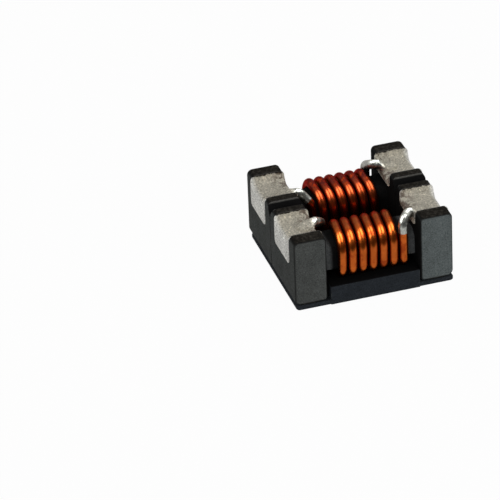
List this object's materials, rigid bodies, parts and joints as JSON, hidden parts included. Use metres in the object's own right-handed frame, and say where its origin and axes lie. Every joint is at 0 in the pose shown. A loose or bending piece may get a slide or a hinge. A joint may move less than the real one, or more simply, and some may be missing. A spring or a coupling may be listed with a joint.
{
  "type": "common mode choke",
  "caption": "Surface-mount common mode choke: wound ferrite drum cores side by side on a flat ferrite cover plate, with plated terminals that line troughs in the flanges.",
  "frame": {"origin": "centre of the bounding box, on the cover plate's flat face", "axes": "+X along the winding axes, +Y from the front core to the rear core, +Z from the cover plate's flat face up to the terminals"},
  "size_m": [0.012, 0.011, 0.0057],
  "materials": {
    "ferrite": "sintered and tumbled dark grey ferrite",
    "enamelled_copper": "clear enamelled copper wire",
    "terminal_plating": "matte fired silver with tin plating",
    "solder": "tin solder",
    "adhesive": "cured dark epoxy"
  },
  "bodies": {
    "root": {"core_front": "ferrite", "core_rear": "ferrite", "cover_plate": "ferrite", "winding_front": "enamelled_copper", "winding_rear": "enamelled_copper", "terminal_front_left": "terminal_plating", "terminal_front_right": "terminal_plating", "terminal_rear_left": "terminal_plating", "terminal_rear_right": "terminal_plating", "solder_front_left": "solder", "solder_front_right": "solder", "solder_rear_left": "solder", "solder_rear_right": "solder", "plate_adhesive_front_left": "adhesive", "plate_adhesive_front_right": "adhesive", "plate_adhesive_rear_left": "adhesive", "plate_adhesive_rear_right": "adhesive", "core_bond_left": "adhesive", "core_bond_right": "adhesive"}
  },
  "joints": []
}
